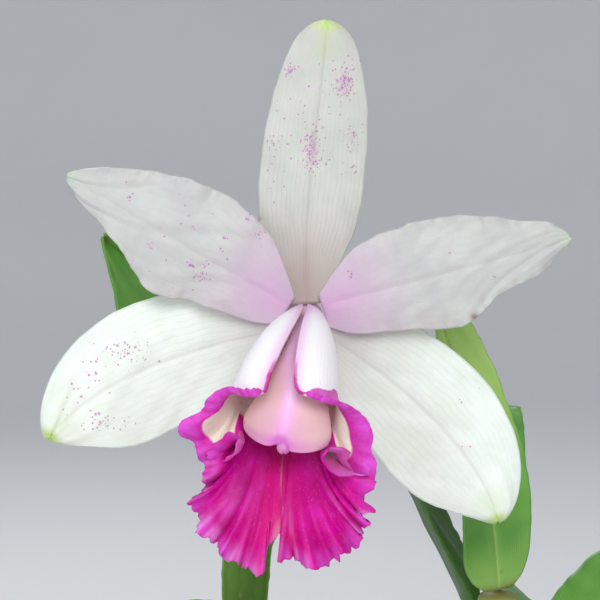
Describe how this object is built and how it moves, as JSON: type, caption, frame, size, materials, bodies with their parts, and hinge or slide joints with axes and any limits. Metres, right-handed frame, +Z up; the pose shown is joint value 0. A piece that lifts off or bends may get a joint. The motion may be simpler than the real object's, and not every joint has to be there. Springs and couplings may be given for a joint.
{
  "type": "potted cattleya intermedia orchid",
  "caption": "Bifoliate orchid plant in a plain clay pot of bark, with upright cane-like pseudobulbs, leathery leaves and an open pale bloom with a ruffled magenta lip.",
  "frame": {"origin": "centre of the pot's foot, on the surface the pot stands on", "axes": "+Z up along the pot's axis, -Y towards the side that the bloom faces, +X to the right of someone who faces the bloom"},
  "size_m": [0.2312, 0.1857, 0.3986],
  "materials": {
    "clay": "matte",
    "bark": "matte",
    "root": "matte",
    "bulb": "satin",
    "sheath": "matte",
    "leaf": "satin",
    "stem": "satin",
    "sepal": "satin",
    "petal": "satin",
    "lip": "satin",
    "column": "satin",
    "cap": "satin"
  },
  "bodies": {
    "root": {"pot": "clay", "bark_medium": "bark", "rhizome_and_roots": "root", "pseudobulb_flowering": "bulb", "pseudobulb_right": "bulb", "pseudobulb_back_right": "bulb", "pseudobulb_outer_right": "bulb", "pseudobulb_back": "bulb", "pseudobulb_back_left": "bulb", "sheath_flowering": "sheath", "sheath_right": "sheath", "sheath_outer_right": "sheath", "sheath_back_left": "sheath", "leaf_flowering_left": "leaf", "leaf_flowering_back": "leaf", "leaf_right_wide": "leaf", "leaf_right_recurved": "leaf", "leaf_back_right_narrow": "leaf", "leaf_back_right_low": "leaf", "leaf_outer_right": "leaf", "leaf_outer_right_low": "leaf", "leaf_back_upright": "leaf", "leaf_back_left": "leaf", "leaf_outer_left": "leaf", "spathe": "stem", "peduncle": "stem", "bract": "stem", "ovary": "stem", "sepal_dorsal": "sepal", "sepal_left": "sepal", "sepal_right": "sepal", "petal_left": "petal", "petal_right": "petal", "lip": "lip", "column": "column", "anther_cap": "cap"}
  },
  "joints": []
}
